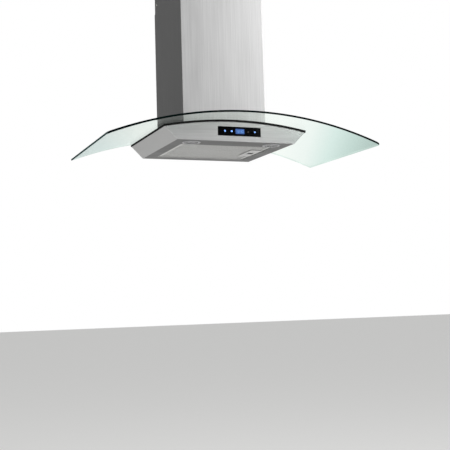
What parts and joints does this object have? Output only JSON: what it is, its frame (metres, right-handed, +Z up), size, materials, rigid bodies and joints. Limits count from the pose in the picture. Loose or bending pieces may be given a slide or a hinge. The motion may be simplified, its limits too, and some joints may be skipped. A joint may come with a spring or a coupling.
{
  "type": "range hood",
  "caption": "Wall-hung chimney range hood: arched glass canopy over a tapered steel body with a touch panel, grease filter and lamps, and a telescopic chimney cover.",
  "frame": {"origin": "centre of the hanging bracket's four screw holes, on the wall plane", "axes": "+Z up, +Y into the wall, +X to the right of someone facing the hood; the hood stands out along -Y"},
  "size_m": [0.9, 0.5, 0.5909],
  "materials": {
    "canopy_glass": "clear tempered sheet, green at its edges",
    "black_rubber": "matt extruded",
    "zinc_steel": "zinc plated",
    "brushed_steel": "brushed stainless",
    "galvanised_steel": "galvanised, dull",
    "panel_glass": "black back-printed glass",
    "display": "lit blue",
    "black_plastic": "moulded, fine grain",
    "circuit_board": "solder mask",
    "foam": "conductive foam",
    "white_plastic": "moulded",
    "chrome_trim": "polished",
    "lamp_glass": "frosted",
    "aluminium": "satin",
    "lamp_module": "moulded heat sink",
    "motor_steel": "laminated"
  },
  "bodies": {
    "root": {"body_shell": "brushed_steel", "bottom_panel": "brushed_steel", "cable_gland": "black_plastic", "canopy_gasket": "black_rubber", "collar_screws": "zinc_steel", "control_board": "circuit_board", "control_glass": "panel_glass", "control_housing": "black_plastic", "damper_pins": "zinc_steel", "display_module": "display", "glass_bolts": "zinc_steel", "glass_bushes": "black_rubber", "glass_canopy": "canopy_glass", "glass_nuts": "zinc_steel", "hanging_bracket": "galvanised_steel", "inner_glass_gasket": "black_rubber", "lamp_driver": "black_plastic", "left_lamp_bezel": "chrome_trim", "left_lamp_lens": "lamp_glass", "left_lamp_module": "lamp_module", "left_lamp_reflector": "aluminium", "left_scroll_half": "black_plastic", "lower_chimney": "brushed_steel", "motor_bearings": "zinc_steel", "motor_box": "galvanised_steel", "motor_box_gasket": "black_rubber", "motor_bracket": "galvanised_steel", "motor_bracket_screws": "zinc_steel", "motor_housing": "galvanised_steel", "motor_stator": "motor_steel", "outlet_collar": "black_plastic", "right_lamp_bezel": "chrome_trim", "right_lamp_lens": "lamp_glass", "right_lamp_module": "lamp_module", "right_lamp_reflector": "aluminium", "right_scroll_half": "black_plastic", "run_capacitor": "white_plastic", "terminal_block": "white_plastic", "terminal_box": "galvanised_steel", "terminal_box_lid": "galvanised_steel", "terminal_lid_lugs": "galvanised_steel", "terminal_lid_screws": "zinc_steel", "touch_pads": "foam"},
    "impeller": {"impeller": "white_plastic", "motor_shaft": "zinc_steel", "motor_rotor": "motor_steel"},
    "left_damper": {"left_damper_flap": "black_plastic"},
    "right_damper": {"right_damper_flap": "black_plastic"},
    "filter": {"filter_frame": "aluminium", "filter_lower_mesh": "aluminium", "filter_core": "aluminium", "filter_upper_mesh": "aluminium", "filter_pivot_pins": "zinc_steel", "latch_plate": "aluminium", "latch_spring": "zinc_steel"},
    "filter_latch": {"latch_slider": "black_plastic"},
    "upper_chimney": {"upper_chimney": "brushed_steel", "upper_chimney_bracket": "galvanised_steel", "upper_chimney_screws": "zinc_steel"}
  },
  "joints": [
    {"name": "impeller_spin", "type": "hinge", "parent": "root", "child": "impeller", "pos_m": [0, -0.135, -0.075], "axis": [1, 0, 0], "continuous": true},
    {"name": "left_damper_swing", "type": "hinge", "parent": "root", "child": "left_damper", "pos_m": [-0.004, -0.15, 0.079], "axis": [0, 1, 0], "range_deg": [0, 80]},
    {"name": "right_damper_swing", "type": "hinge", "parent": "root", "child": "right_damper", "pos_m": [0.004, -0.15, 0.079], "axis": [0, -1, 0], "range_deg": [0, 80]},
    {"name": "filter_swing", "type": "hinge", "parent": "root", "child": "filter", "pos_m": [-0.151, -0.168, -0.2617], "axis": [0, 1, 0], "range_deg": [0, 80]},
    {"name": "latch_slide", "type": "slide", "parent": "filter", "child": "filter_latch", "axis": [1, 0, 0], "range_m": [-0.006, 0.003], "stiffness_N_per_m": 250},
    {"name": "upper_chimney_slide", "type": "slide", "parent": "root", "child": "upper_chimney", "axis": [0, 0, 1], "range_m": [0, 0.3]}
  ]
}
